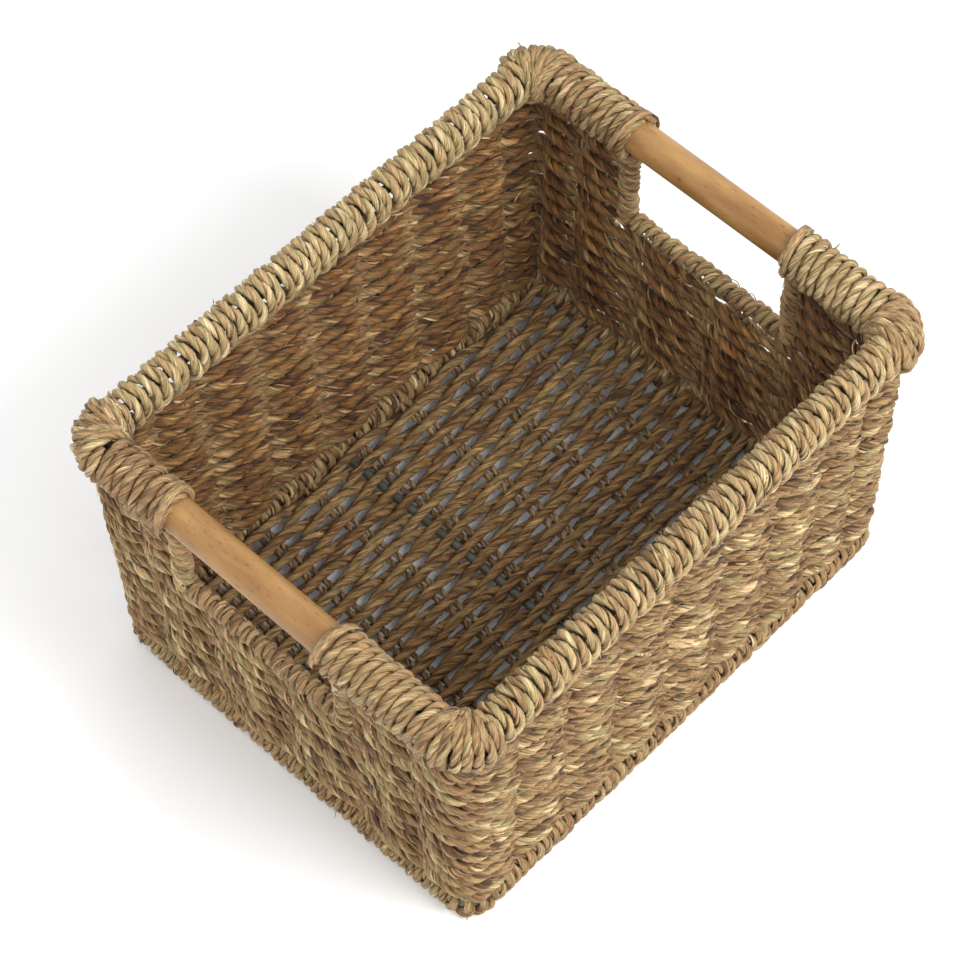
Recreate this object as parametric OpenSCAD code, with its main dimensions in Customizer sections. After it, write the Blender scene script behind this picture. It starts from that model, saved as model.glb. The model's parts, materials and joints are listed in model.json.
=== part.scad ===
// Rectangular storage basket: courses of twisted seagrass rope woven in and out of upright cords
// round a steel rod frame, with a round wooden grip above a hand gap in each short side.
// Origin: centre of the footprint, on the ground. X runs along the long sides, Y along the short
// sides, +Z up.

/* [Overall] */
// Distance between the centre lines of the two wooden grips
rim_length = 370; // [340:2:450]
// Distance between the centre lines of the two long-side rods
rim_width = 290; // [270:2:350]
// Height of the centre line of the grips and rods above the ground
rim_height = 222; // [182:1:270]
// How much shorter the basket is at its foot than at its rim
length_taper = 12; // [0:1:24]
// How much narrower the basket is at its foot than at its rim
width_taper = 8; // [0:1:20]
// Bend radius of the rods at the rim's corners
corner_r = 17; // [17:1:26]
// Bend radius of the ring at the foot's corners
foot_r = 11; // [9:0.5:16]

/* [Wooden grips] */
// Diameter of the grip
grip_d = 22; // [18:0.5:27]
// Length of the grip, most of its ends hidden in the wraps
grip_length = 222; // [200:1:228]
// Bare length of the grip, which is the width of the hand gap
grip_bare = 116; // [94:1:138]
// How far the left hand gap is from the middle of its side, towards the back
gap_shift_left = 12; // [0:1:12]
// How far the right hand gap is from the middle of its side, towards the back
gap_shift_right = 2; // [0:1:12]
// How far a rod goes into the grip's drilled end
grip_plug = 12; // [8:1:18]

/* [Steel frame] */
// Diameter of the rod in the rim
rod_d = 6; // [4:0.2:7.4]
// Diameter of the ring in the foot
ring_d = 6; // [4:0.2:7.4]
// Diameter of the posts between the foot ring and the rim rods
post_d = 5; // [3.6:0.2:6.2]
// Diameter of the wire round the hand gap
gap_wire_d = 5; // [3.6:0.2:6]
// How far the posts stand from the ends of the rods' straight part
post_inset = 6; // [4:1:9]
// Distance from the floor brace to the stake beside it
brace_offset = 10; // [9:0.5:14]

/* [Wraps] */
// Width of the wrap over the rim's long sides
rim_wrap_w = 26; // [20:0.5:31]
// Height of the wraps round the rim
wrap_h = 33; // [29:0.5:39]
// Width of the wraps round the rim's corners
corner_wrap_w = 32; // [24:0.5:33]
// How thick the wrap lies over the grip
grip_wrap_t = 4.25; // [3:0.25:6]
// Thickness of the wrap under the hand gap
gap_wrap_w = 13; // [10:0.5:16]
// Height of the wrap under the hand gap
gap_wrap_h = 14; // [11:0.5:17]
// Width of the wraps at the hand gap's sides
gap_post_w = 15; // [11:0.5:18]
// Width of the wrapped border round the foot
foot_w = 16; // [13:0.5:19]
// Height of the wrapped border round the foot
foot_h = 22; // [20:0.5:26]

/* [Wall weave] */
// Number of rope courses in the walls
course_count = 26; // [26]
// Courses below the hand gaps
low_courses = 16; // [16]
// How thick the rope is through the wall
rope_t = 5.2; // [4:0.1:6.2]
// Diameter of a stake cord
cord_d = 4.4; // [3.4:0.1:5.4]
// Distance between the two cords of a stake
cord_gap = 5.8; // [5.4:0.1:6.6]
// Stakes in a long side
long_stakes = 7; // [5:2:7]
// Distance between the stakes of a long side
long_pitch = 43.5; // [36:0.5:44]
// How far the stakes of the long sides are moved along X, clear of the floor brace
stake_shift = 5; // [0:0.5:8]
// Distance of the inner stakes of a short side from the middle
short_inner = 28; // [20:1:42]
// Distance of the outer stakes of a short side from the middle
short_outer = 91; // [90:1:105]

/* [Floor weave] */
// Number of floor ropes
floor_ropes = 42; // [36:2:46]
// Height of a floor rope
floor_rope_h = 6; // [4.4:0.1:6.4]

/* [Hidden] */
$fn = 48;
// room between pieces that lie against each other
course_clear = 0.2;
weave_clear = 0.3;
bore_clear = 0.3;
// the flat under the foot border, as a cut off the lower end of its oval
foot_flat = 0.8;
// sides of the ovals the wraps are drawn with
oval_sides = 24;
// steps of a course round a corner
corner_steps = 6;

foot_b = (foot_h + foot_flat) / 2;
ring_z = foot_h - foot_b;
rim_top = rim_height + grip_d / 2 + grip_wrap_t;
wrap_z = rim_top - wrap_h / 2;
wall_bottom = foot_h + course_clear;
wall_top = rim_top - wrap_h - course_clear;
course_pitch = (wall_top - wall_bottom) / course_count;
course_h = course_pitch - course_clear;
weave_off = max(cord_d, post_d) / 2 + rope_t / 2 + weave_clear;

half_x = rim_length / 2;
half_y = rim_width / 2;
foot_x = half_x - length_taper / 2;
foot_y = half_y - width_taper / 2;
arc_x = half_x - corner_r;
arc_y = half_y - corner_r;
foot_arc_x = foot_x - foot_r;
foot_arc_y = foot_y - foot_r;
post_x = min(arc_x, foot_arc_x) - post_inset;
short_corner = arc_y - cord_gap / 2 - 1;

low_top = wall_bottom + low_courses * course_pitch;
bar_z = low_top + gap_wrap_h / 2;
gap_post_y = (grip_bare + gap_post_w) / 2;
gap_end = grip_bare / 2 + gap_post_w + course_clear;
gap_post_top = rim_height + grip_d / 4;

stake_x = [for (i = [0:long_stakes - 1]) stake_shift + (i - (long_stakes - 1) / 2) * long_pitch];
long_x = concat([-post_x], stake_x, [post_x]);
short_y = [-short_corner, -short_outer, -short_inner, short_inner, short_outer, short_corner];
brace_x = stake_shift - brace_offset;
cord_flat = (cord_gap + cord_d) / 2 + 0.2;
post_flat = post_d / 2 + 0.5;
n_long = len(long_x);
n_short = len(short_y);

floor_x = foot_x - foot_w / 2 - weave_clear;
floor_y = foot_y - foot_w / 2 - weave_clear;
floor_pitch = 2 * floor_y / floor_ropes;
floor_off = max(cord_d, ring_d) / 2 + floor_rope_h / 2 + weave_clear;
floor_third = round(floor_ropes / 3);

seagrass = "tan";
dark_seagrass = "darkkhaki";
straw = "wheat";
cord_tan = "burlywood";
honey = "peru";
steel = "dimgray";

// half the length and width of the wall's middle at a height
function wall_x(z) = half_x - length_taper / 2 * (rim_height - z) / (rim_height - ring_z);
function wall_y(z) = half_y - width_taper / 2 * (rim_height - z) / (rim_height - ring_z);
// centre along X of a course's corner bend, from the rim's radius down to the foot's
function bend_x(z) = wall_x(z) - corner_r
    + (corner_r - foot_r) * (rim_height - z) / (rim_height - ring_z);
// how far the hand gap on a side (-1 left, 1 right) is from the middle
function gap_shift(s) = s < 0 ? gap_shift_left : gap_shift_right;
// +1 where a course passes outside a stake, -1 where it passes inside
function side(n) = n % 2 == 0 ? 1 : -1;
function flat_at(i) = i == 0 || i == n_long - 1 ? post_flat : cord_flat;

// one face of a course: z height, p which way it starts, e distance from the rope's middle
function front_run(z, p, e) = [for (i = [0:n_long - 1], d = [-1, 1])
    [long_x[i] + d * flat_at(i), -(wall_y(z) + weave_off * side(i + p) + e)]];
function right_run(z, p, e) = [for (i = [0:n_short - 1], d = [-1, 1])
    [wall_x(z) + weave_off * side(i + n_long + p) + e, short_y[i] + d * cord_flat]];
// the back and left runs are the front and right ones turned half a turn, in step with them
function back_run(z, p, e) = [for (i = [n_long - 1:-1:0], d = [1, -1])
    [long_x[i] + d * flat_at(i),
     wall_y(z) + weave_off * side(2 * n_long + n_short - 1 - i + p) + e]];
function left_run(z, p, e) = [for (i = [n_short - 1:-1:0], d = [1, -1])
    [-(wall_x(z) + weave_off * side(2 * n_long + 2 * n_short - 1 - i + p) + e),
     short_y[i] + d * cord_flat]];
// the bend round a corner, passing from one side of the wall's middle to the other
function bend_run(z, sx, sy, a, start, e) = [for (k = [1:corner_steps - 1])
    let (t = a + 90 * k / corner_steps, o = weave_off * start * cos(180 * k / corner_steps) + e)
    [sx * bend_x(z) + (wall_x(z) - bend_x(z) + o) * cos(t),
     sy * arc_y + (wall_y(z) - arc_y + o) * sin(t)]];
function course_face(z, p, e) = concat(
    front_run(z, p, e), bend_run(z, 1, -1, -90, side(n_long - 1 + p), e),
    right_run(z, p, e), bend_run(z, 1, 1, 0, side(n_long + n_short - 1 + p), e),
    back_run(z, p, e), bend_run(z, -1, 1, 90, side(2 * n_long + n_short - 1 + p), e),
    left_run(z, p, e), bend_run(z, -1, -1, 180, side(2 * n_long + 2 * n_short - 1 + p), e));
function oval(a, b) = [for (i = [0:oval_sides - 1])
    [a * cos(360 * (i + 0.5) / oval_sides), b * sin(360 * (i + 0.5) / oval_sides)]];
function foot_oval() = [for (q = oval(foot_w / 2, foot_b)) [q[0], max(q[1], foot_flat - foot_b)]];

// bars and bends drawn with a flat section: its first axis across, its second up
module bar_x(length) { rotate([90, 0, 90]) linear_extrude(length, center = true) children(); }
module bar_y(length) { rotate([90, 0, 0]) linear_extrude(length, center = true) children(); }
module bend(x, y, r, a) {
    translate([x, y, 0]) rotate([0, 0, a]) rotate_extrude(angle = 90) translate([r, 0]) children();
}

module course_flat(z, p) {
    difference() {
        polygon(course_face(z, p, rope_t / 2));
        polygon(course_face(z, p, -rope_t / 2));
    }
}
module course(k) {
    z = wall_bottom + k * course_pitch;
    translate([0, 0, z]) linear_extrude(course_h) course_flat(z + course_h / 2, k % 2);
}
// a course above the hand gaps, stopped at the gap's side wraps
module part_course(k, s) {
    z = wall_bottom + k * course_pitch;
    translate([0, 0, z]) linear_extrude(course_h) intersection() {
        course_flat(z + course_h / 2, k % 2);
        for (e = [-1, 1])
            translate([e * rim_length / 2, gap_shift(e) + s * (gap_end + rim_width / 2)])
                square([rim_length + 1, rim_width], center = true);
    }
}
module course_pair(k) { color(k % 4 == 0 ? seagrass : dark_seagrass) { course(k); course(k + 1); } }
module part_pair(k, s) {
    color(k % 4 == 0 ? seagrass : dark_seagrass) { part_course(k, s); part_course(k + 1, s); }
}

// a cord or post leaning with the wall from z0 to z1, in a long side (s = -1 front, 1 back)
module lean_long(x, s, z0, z1, d) {
    a = atan2(wall_y(z1) - wall_y(z0), z1 - z0);
    translate([x, s * wall_y(z0), z0]) rotate([-s * a, 0, 0]) cylinder(h = (z1 - z0) / cos(a), d = d);
}
module lean_short(y, s, z0, z1, d) {
    a = atan2(wall_x(z1) - wall_x(z0), z1 - z0);
    translate([s * wall_x(z0), y, z0]) rotate([0, s * a, 0]) cylinder(h = (z1 - z0) / cos(a), d = d);
}
module long_cords(s) {
    color(cord_tan) for (x = stake_x, d = [-1, 1])
        lean_long(x + d * cord_gap / 2, s, wall_bottom, wall_top, cord_d);
}
module short_cords(s) {
    color(cord_tan) for (y = short_y, d = [-1, 1])
        lean_short(y + d * cord_gap / 2, s, wall_bottom,
            abs(y - gap_shift(s)) - cord_flat < gap_end ? low_top : wall_top, cord_d);
}

// half the length of a floor rope, less where the foot wrap's corners come in at its outer edge
function floor_end(j) = let (r = foot_r - foot_w / 2 - weave_clear,
    d = (abs(j - (floor_ropes - 1) / 2) + 0.5) * floor_pitch - foot_arc_y)
    d > 0 ? floor_x - r + sqrt(max(0, r * r - d * d)) : floor_x;
// a floor rope passing over one stake and under the next
function floor_face(p, e, end) = concat(
    [[-end, ring_z + e]],
    [for (i = [0:long_stakes - 1], d = [-1, 1])
        [stake_x[i] + (d < 0 && brace_here(i) ? brace_x - stake_x[i] - ring_d / 2 - 0.5
            : d * cord_flat), ring_z + floor_off * side(i + p) + e]],
    [[end, ring_z + e]]);
function brace_here(i) = abs(stake_x[i] - stake_shift) < 1;
function backwards(v) = [for (i = [len(v) - 1:-1:0]) v[i]];
module floor_rope(j) {
    translate([0, (j - (floor_ropes - 1) / 2) * floor_pitch, 0]) bar_y(floor_pitch - course_clear)
        polygon(concat(floor_face(j % 2, -floor_rope_h / 2, floor_end(j)),
            backwards(floor_face(j % 2, floor_rope_h / 2, floor_end(j)))));
}
module floor_group(first, last) {
    color("sienna") for (j = [first:last]) floor_rope(j);
}
module floor_cords() {
    color(cord_tan) for (x = stake_x, d = [-1, 1])
        translate([x + d * cord_gap / 2, 0, ring_z]) bar_y(2 * floor_y) circle(d = cord_d);
}

// Steel frame
module rim_rod(s, grow = 0) {
    plug_y = grip_length / 2 - grip_plug;
    translate([0, 0, rim_height]) {
        translate([0, s * half_y, 0]) bar_x(2 * arc_x) circle(d = rod_d + grow);
        bend(arc_x, s * arc_y, corner_r, s < 0 ? -90 : 0) circle(d = rod_d + grow);
        bend(-arc_x, s * arc_y, corner_r, s < 0 ? 180 : 90) circle(d = rod_d + grow);
        for (x = [-half_x, half_x]) translate([x, s * (arc_y + plug_y) / 2, 0])
            bar_y(arc_y - plug_y) circle(d = rod_d + grow);
    }
}
module foot_ring() {
    color(steel) translate([0, 0, ring_z]) {
        for (s = [-1, 1]) {
            translate([0, s * foot_y, 0]) bar_x(2 * foot_arc_x) circle(d = ring_d);
            translate([s * foot_x, 0, 0]) bar_y(2 * foot_arc_y) circle(d = ring_d);
        }
        bend(foot_arc_x, -foot_arc_y, foot_r, -90) circle(d = ring_d);
        bend(foot_arc_x, foot_arc_y, foot_r, 0) circle(d = ring_d);
        bend(-foot_arc_x, foot_arc_y, foot_r, 90) circle(d = ring_d);
        bend(-foot_arc_x, -foot_arc_y, foot_r, 180) circle(d = ring_d);
    }
}
module brace_rod(grow = 0) {
    translate([brace_x, 0, ring_z]) bar_y(2 * (foot_y - ring_d / 2 - bore_clear) + grow)
        circle(d = ring_d + grow);
}
module corner_post(x, s, grow = 0) {
    lean_long(x, s, ring_z + ring_d / 2 + bore_clear - grow,
        rim_height - rod_d / 2 - bore_clear + grow, post_d + grow);
}
module corner_posts() {
    color(steel) for (x = [-post_x, post_x], s = [-1, 1]) corner_post(x, s);
}
// the wire round a hand gap: a sill and two posts that enter the grip from below
module gap_wire(s, grow = 0) {
    translate([s * gap_x(), gap_shift(s), bar_z]) {
        bar_y(2 * gap_post_y) circle(d = gap_wire_d + grow);
        for (y = [-gap_post_y, gap_post_y]) translate([0, y, -gap_wire_d / 2 - 0.1 - grow / 2])
            cylinder(h = gap_post_top - bar_z + gap_wire_d / 2 + 0.1 + grow,
                d = gap_wire_d + 0.2 + grow);
    }
}
function gap_x() = (wall_x(bar_z) + half_x) / 2;

// Wooden grips, drilled in each end for a rod and from below for the gap's posts
module grip(s) {
    color(honey) difference() {
        translate([s * half_x, 0, rim_height]) bar_y(grip_length) circle(d = grip_d);
        for (t = [-1, 1]) translate([s * half_x, t * grip_length / 2, rim_height])
            bar_y(2 * grip_plug + 2 * bore_clear) circle(d = rod_d + 2 * bore_clear);
        gap_wire(s, 2 * bore_clear);
    }
}

// Rope wraps round the rim
module grip_wrap(s, t) {
    length = arc_y - t * gap_shift(s) - grip_bare / 2;
    color(straw) difference() {
        translate([s * half_x, t * (arc_y - length / 2), wrap_z])
            bar_y(length) polygon(oval(grip_d / 2 + grip_wrap_t, wrap_h / 2));
        translate([s * half_x, 0, rim_height]) {
            bar_y(grip_length + 2 * bore_clear) circle(d = grip_d + 2 * bore_clear);
            bar_y(rim_width) circle(d = rod_d + 2 * bore_clear);
        }
        gap_wire(s, 2 * bore_clear);
    }
}
module corner_wrap(s, t) {
    a = s > 0 ? (t > 0 ? 0 : -90) : (t > 0 ? 90 : 180);
    color(straw) bend(s * arc_x, t * arc_y, corner_r, a) difference() {
        translate([0, wrap_z]) polygon(oval(corner_wrap_w / 2, wrap_h / 2));
        translate([0, rim_height]) circle(d = rod_d + 2 * bore_clear);
    }
}
module rim_wrap(s) {
    color(straw) difference() {
        translate([0, s * half_y, 0]) bar_x(2 * arc_x) difference() {
            translate([0, wrap_z]) polygon(oval(rim_wrap_w / 2, wrap_h / 2));
            translate([0, rim_height]) circle(d = rod_d + 2 * bore_clear);
        }
        for (x = [-post_x, post_x]) corner_post(x, s, 2 * bore_clear);
    }
}

// Rope wraps round the hand gap
module gap_sill_wrap(s) {
    color(straw) translate([s * gap_x(), gap_shift(s), bar_z]) bar_y(grip_bare) difference() {
        polygon(oval(gap_wrap_w / 2, gap_wrap_h / 2));
        circle(d = gap_wire_d + 2 * bore_clear);
    }
}
module gap_side_wrap(s, t) {
    color(straw) difference() {
        translate([s * gap_x(), gap_shift(s) + t * gap_post_y, low_top]) linear_extrude(wall_top - low_top)
            polygon(oval(gap_wrap_w / 2 + 0.5, gap_post_w / 2));
        gap_wire(s, 2 * bore_clear);
    }
}

// Rope wrap round the foot: each piece is one side and the corner at its end
module foot_section() {
    difference() {
        polygon(foot_oval());
        circle(d = ring_d + 2 * bore_clear);
    }
}
module foot_wrap_long(s) {
    color(dark_seagrass) difference() {
        translate([0, 0, ring_z]) {
            translate([0, s * foot_y, 0]) bar_x(2 * foot_arc_x) foot_section();
            bend(-s * foot_arc_x, s * foot_arc_y, foot_r, s < 0 ? -90 : 90) foot_section();
        }
        brace_rod(2 * bore_clear);
        for (x = [-post_x, post_x]) corner_post(x, s, 2 * bore_clear);
    }
}
module foot_wrap_short(s) {
    color(dark_seagrass) translate([0, 0, ring_z]) {
        translate([s * foot_x, 0, 0]) bar_y(2 * foot_arc_y) foot_section();
        bend(s * foot_arc_x, s * foot_arc_y, foot_r, s < 0 ? 180 : 0) foot_section();
    }
}

course_pair(0);  // course_1_2
course_pair(2);  // course_3_4
course_pair(4);  // course_5_6
course_pair(6);  // course_7_8
course_pair(8);  // course_9_10
course_pair(10);  // course_11_12
course_pair(12);  // course_13_14
course_pair(14);  // course_15_16
part_pair(16, -1);  // front_course_17_18
part_pair(18, -1);  // front_course_19_20
part_pair(20, -1);  // front_course_21_22
part_pair(22, -1);  // front_course_23_24
part_pair(24, -1);  // front_course_25_26
part_pair(16, 1);  // back_course_17_18
part_pair(18, 1);  // back_course_19_20
part_pair(20, 1);  // back_course_21_22
part_pair(22, 1);  // back_course_23_24
part_pair(24, 1);  // back_course_25_26
long_cords(-1);  // stake_cords_front
long_cords(1);  // stake_cords_back
short_cords(-1);  // stake_cords_left
short_cords(1);  // stake_cords_right
floor_group(0, floor_third - 1);  // floor_ropes_front
floor_group(floor_third, 2 * floor_third);  // floor_ropes_middle
floor_group(2 * floor_third + 1, floor_ropes - 1);  // floor_ropes_back
floor_cords();
grip(-1);  // grip_left
grip(1);  // grip_right
grip_wrap(-1, -1);  // grip_wrap_front_left
grip_wrap(-1, 1);  // grip_wrap_back_left
grip_wrap(1, -1);  // grip_wrap_front_right
grip_wrap(1, 1);  // grip_wrap_back_right
corner_wrap(-1, -1);  // corner_wrap_front_left
corner_wrap(-1, 1);  // corner_wrap_back_left
corner_wrap(1, -1);  // corner_wrap_front_right
corner_wrap(1, 1);  // corner_wrap_back_right
rim_wrap(-1);  // rim_wrap_front
rim_wrap(1);  // rim_wrap_back
gap_sill_wrap(-1);  // gap_sill_wrap_left
gap_sill_wrap(1);  // gap_sill_wrap_right
gap_side_wrap(-1, -1);  // gap_side_wrap_front_left
gap_side_wrap(-1, 1);  // gap_side_wrap_back_left
gap_side_wrap(1, -1);  // gap_side_wrap_front_right
gap_side_wrap(1, 1);  // gap_side_wrap_back_right
foot_wrap_long(-1);  // foot_wrap_front
foot_wrap_long(1);  // foot_wrap_back
foot_wrap_short(-1);  // foot_wrap_left
foot_wrap_short(1);  // foot_wrap_right
color(steel) rim_rod(-1);  // rim_rod_front
color(steel) rim_rod(1);  // rim_rod_back
foot_ring();
color(steel) brace_rod();  // floor_brace
corner_posts();
color(steel) gap_wire(-1);  // gap_frame_left
color(steel) gap_wire(1);  // gap_frame_right
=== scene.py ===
# Seagrass storage basket. Every rope is swept as real two-ply rope round the CAD frame.
import json
import math
import bpy
import numpy as np
from mathutils import Matrix, Vector

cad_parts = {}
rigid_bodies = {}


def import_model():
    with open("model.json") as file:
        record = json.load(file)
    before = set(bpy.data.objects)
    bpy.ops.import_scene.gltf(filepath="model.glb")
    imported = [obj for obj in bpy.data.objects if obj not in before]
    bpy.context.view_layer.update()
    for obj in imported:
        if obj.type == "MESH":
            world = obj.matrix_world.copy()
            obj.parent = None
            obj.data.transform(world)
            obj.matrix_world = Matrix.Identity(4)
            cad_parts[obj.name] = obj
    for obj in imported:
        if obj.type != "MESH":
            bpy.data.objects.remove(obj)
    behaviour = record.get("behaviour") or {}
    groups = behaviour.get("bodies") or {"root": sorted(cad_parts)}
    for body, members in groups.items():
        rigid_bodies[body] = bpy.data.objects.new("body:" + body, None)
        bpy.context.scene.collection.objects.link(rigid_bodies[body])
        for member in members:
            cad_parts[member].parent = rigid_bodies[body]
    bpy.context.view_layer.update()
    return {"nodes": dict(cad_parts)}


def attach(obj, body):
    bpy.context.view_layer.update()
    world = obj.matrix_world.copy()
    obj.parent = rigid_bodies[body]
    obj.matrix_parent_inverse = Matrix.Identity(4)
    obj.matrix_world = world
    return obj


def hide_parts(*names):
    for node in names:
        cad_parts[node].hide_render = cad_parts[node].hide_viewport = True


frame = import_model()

bpy.ops.object.select_all(action="DESELECT")
print("frame loaded")

mm = 0.001
mapUnit = 10.0           # mm of rope to one unit of its mapping
patternLength = 90       # each ply starts somewhere along this much of the pattern
up = np.array([0.0, 0.0, 1.0])

# The basket's outline, in mm, the same values as the CAD source
basket = {
    "halfX": 185.0, "halfY": 145.0,      # middle of the rim
    "footX": 179.0, "footY": 141.0,      # middle of the foot ring
    "rimZ": 222.0, "ringZ": 10.6, "wrapZ": 220.75,
    "arcX": 168.0, "arcY": 128.0,        # centres of the corner bends
    "wallBottom": 22.2, "wallTop": 204.05, "lowTop": 134.1,
    "courses": 26, "lowCourses": 16,
    "postX": 162.0, "cordGap": 5.8,
    "stakeX": [-125.5, -82.0, -38.5, 5.0, 48.5, 92.0, 135.5],
    "stakeY": [-124.1, -91.0, -28.0, 28.0, 91.0, 124.1],
    "gapX": 183.85, "gapBarZ": 141.1, "gapPostY": 65.5, "gripBare": 116.0,
    "gapShift": {-1: 12.0, 1: 2.0},      # how far each hand gap stands towards the back
    "floorPitch": 6.319,
}


def toLinear(hexColour):
    parts = [int(hexColour[i:i + 2], 16) / 255 for i in (1, 3, 5)]
    return tuple(c / 12.92 if c <= 0.04045 else ((c + 0.055) / 1.055) ** 2.4 for c in parts) + (1.0,)


def unit(v):
    return v / np.maximum(np.linalg.norm(v, axis=-1, keepdims=True), 1e-9)


def drift(rng, along, size):
    # smooth wander between -1 and 1, changing about once every size mm
    knots = int(np.ptp(along) / size) + 4
    values = rng.uniform(-1, 1, knots)
    x = (along - along.min()) / size
    i = x.astype(int)
    f = x - i
    f = f * f * (3 - 2 * f)
    return values[i] * (1 - f) + values[i + 1] * f


def evenly(path, out, step):
    # the path and its outward directions again, at even steps
    along = np.concatenate([[0], np.cumsum(np.linalg.norm(np.diff(path, axis=0), axis=1))])
    count = max(int(along[-1] / step), 4)
    s = np.linspace(0, along[-1], count + 1)
    points = np.stack([np.interp(s, along, path[:, i]) for i in range(3)], 1)
    outs = np.stack([np.interp(s, along, out[:, i]) for i in range(3)], 1)
    return s, points, outs


def slope(points, closed):
    if closed:
        return unit(np.roll(points, -1, axis=0) - np.roll(points, 1, axis=0))
    return unit(np.gradient(points, axis=0))


# How every twisted rope wanders, and over how many mm, with its lobes and its drawn-in ends
twist = {"layDrift": 0.9, "layOver": 40, "fatOver": 22, "outDrift": 0.14, "outOver": 14,
         "lumpOver": 9, "fineLump": 0.6, "fineOver": 4, "lobes": 3, "lobeTurn": 6,
         "lobeDrift": 2, "lobeOver": 12, "joinEase": 30, "endDraw": 0.45}
# A flat blade: its steps, its section, and how it narrows to both ends
bladeShape = {"steps": 9, "shortStep": 0.6, "sides": 6, "begin": 0.06, "end": 0.985, "tip": 0.08, "full": 0.6}


class RopeMesh:
    # gathers tubes and blades, and makes one object of them
    def __init__(self, name, seed):
        self.name, self.rng = name, np.random.default_rng(seed)
        self.points, self.corners, self.sizes, self.maps, self.tones = [], [], [], [], []
        self.count = 0

    def addTube(self, rings, s, tone, closed, girth):
        # rings is (n, sides, 3); s is the way along in mm; girth is the distance round in mm
        n, sides = rings.shape[:2]
        start = self.rng.uniform(0, patternLength)
        base = self.count
        spans = n if closed else n - 1
        i, j = np.meshgrid(np.arange(spans), np.arange(sides), indexing="ij")
        i2, j2 = (i + 1) % n, (j + 1) % sides
        quads = np.stack([i * sides + j, i * sides + j2, i2 * sides + j2, i2 * sides + j], -1)
        u0 = s[i] / mapUnit + start
        u1 = np.where(i2 == 0, s[-1] + s[1] - s[0], s[i2]) / mapUnit + start
        v0, v1 = j / sides * girth / mapUnit, (j + 1) / sides * girth / mapUnit
        mapping = np.stack([np.stack([u0, v0], -1), np.stack([u0, v1], -1),
                            np.stack([u1, v1], -1), np.stack([u1, v0], -1)], -2)
        self.points.append(rings.reshape(-1, 3))
        self.corners.append((quads + base).ravel())
        self.maps.append(mapping.reshape(-1, 2))
        self.sizes.append(np.full(spans * sides, 4))
        self.tones.append(np.repeat(tone, sides, axis=0))
        self.count += n * sides
        if not closed:
            for ring, turn in ((0, -1), (n - 1, 1)):
                self.corners.append(base + ring * sides + np.arange(sides)[::turn])
                self.maps.append(np.tile([[s[ring] / mapUnit + start, 0.0]], (sides, 1)))
                self.sizes.append(np.array([sides]))

    def addRope(self, path, out, kind, closed=False, tint=0.5, inwardShade=None):
        # two plies laid right-handed, each a lumpy oval tube
        rng = self.rng
        s, centre, out = evenly(path, out, kind["step"])
        if closed:
            s, centre, out = s[:-1], centre[:-1], out[:-1]
        length = s[-1] + s[1]
        tangent = slope(centre, closed)
        normal = unit(out - (out * tangent).sum(1, keepdims=True) * tangent)
        side = np.cross(tangent, normal)
        turns = length / kind["lay"]
        if closed:
            turns = round(turns)
        phase = 2 * math.pi * turns * s / length + rng.uniform(0, 2 * math.pi)
        if not closed:
            phase = phase + twist["layDrift"] * drift(rng, s, twist["layOver"])
        ease = np.ones(len(s))
        if closed:       # wander fades out where the ends meet
            ease = np.clip(np.minimum(s, length - s) / twist["joinEase"], 0, 1)
        fat = 1 + kind["uneven"] * drift(rng, s, twist["fatOver"]) * ease
        angle = np.arange(kind["sides"]) * 2 * math.pi / kind["sides"]
        for ply in range(2):
            turn = phase + ply * math.pi
            away = np.cos(turn)[:, None] * normal + np.sin(turn)[:, None] * side
            outDrift = twist["outDrift"] * drift(rng, s, twist["outOver"])
            middle = centre + away * (kind["plyOut"] * (1 + outDrift * ease) * fat)[:, None]
            along = slope(middle, closed)
            wide = unit(np.cross(along, away))
            lumps = drift(rng, s, twist["lumpOver"]) + twist["fineLump"] * drift(rng, s, twist["fineOver"])
            lump = fat * (1 + kind["lump"] * lumps * ease)
            lobeDrift = twist["lobeDrift"] * drift(rng, s, twist["lobeOver"])
            lobes = 1 + kind["facet"] * np.cos(
                twist["lobes"] * angle[None, :] + (s / twist["lobeTurn"] + lobeDrift * ease)[:, None])
            rings = middle[:, None] + lump[:, None, None] * lobes[..., None] * (
                kind["plyDeep"] * np.cos(angle)[None, :, None] * away[:, None]
                + kind["plyWide"] * np.sin(angle)[None, :, None] * wide[:, None])
            if not closed:      # ends drawn in before they are capped
                for end in (0, -1):
                    rings[end] = middle[end] + twist["endDraw"] * (rings[end] - middle[end])
            tone = np.ones((len(s), 4))
            tone[:, 0] = rng.uniform()
            tone[:, 1] = tint
            # blue carries the painted shade mask: how far this run lies inside the uprights
            tone[:, 2] = 0 if inwardShade is None else np.interp(s, np.linspace(0, length, len(inwardShade)), inwardShade)
            self.addTube(rings, s, tone, closed, 2 * math.pi * (kind["plyDeep"] + kind["plyWide"]) / 2)
        return centre, tangent, normal

    def addBlade(self, path, out, width, thick, tint=0.5):
        # a flat blade of grass, tapered to both ends
        shape = bladeShape
        length = np.linalg.norm(np.diff(path, axis=0), axis=1).sum()
        s, centre, out = evenly(path, out, max(length / shape["steps"], shape["shortStep"]))
        centre[:, 2] = np.maximum(centre[:, 2], thick + width / 2)      # clear of the ground
        tangent = slope(centre, False)
        normal = unit(out - (out * tangent).sum(1, keepdims=True) * tangent)
        side = np.cross(tangent, normal)
        taper = np.sin(math.pi * np.linspace(shape["begin"], shape["end"], len(s)))
        taper = np.clip(taper, shape["tip"], 1) ** shape["full"]
        angle = np.arange(shape["sides"]) * 2 * math.pi / shape["sides"]
        rings = centre[:, None] + taper[:, None, None] * (
            thick / 2 * np.cos(angle)[None, :, None] * normal[:, None]
            + width / 2 * np.sin(angle)[None, :, None] * side[:, None])
        tone = np.ones((len(s), 4))
        tone[:, 0], tone[:, 1], tone[:, 2] = self.rng.uniform(), tint, 0
        self.addTube(rings, s, tone, False, 2 * width)

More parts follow.
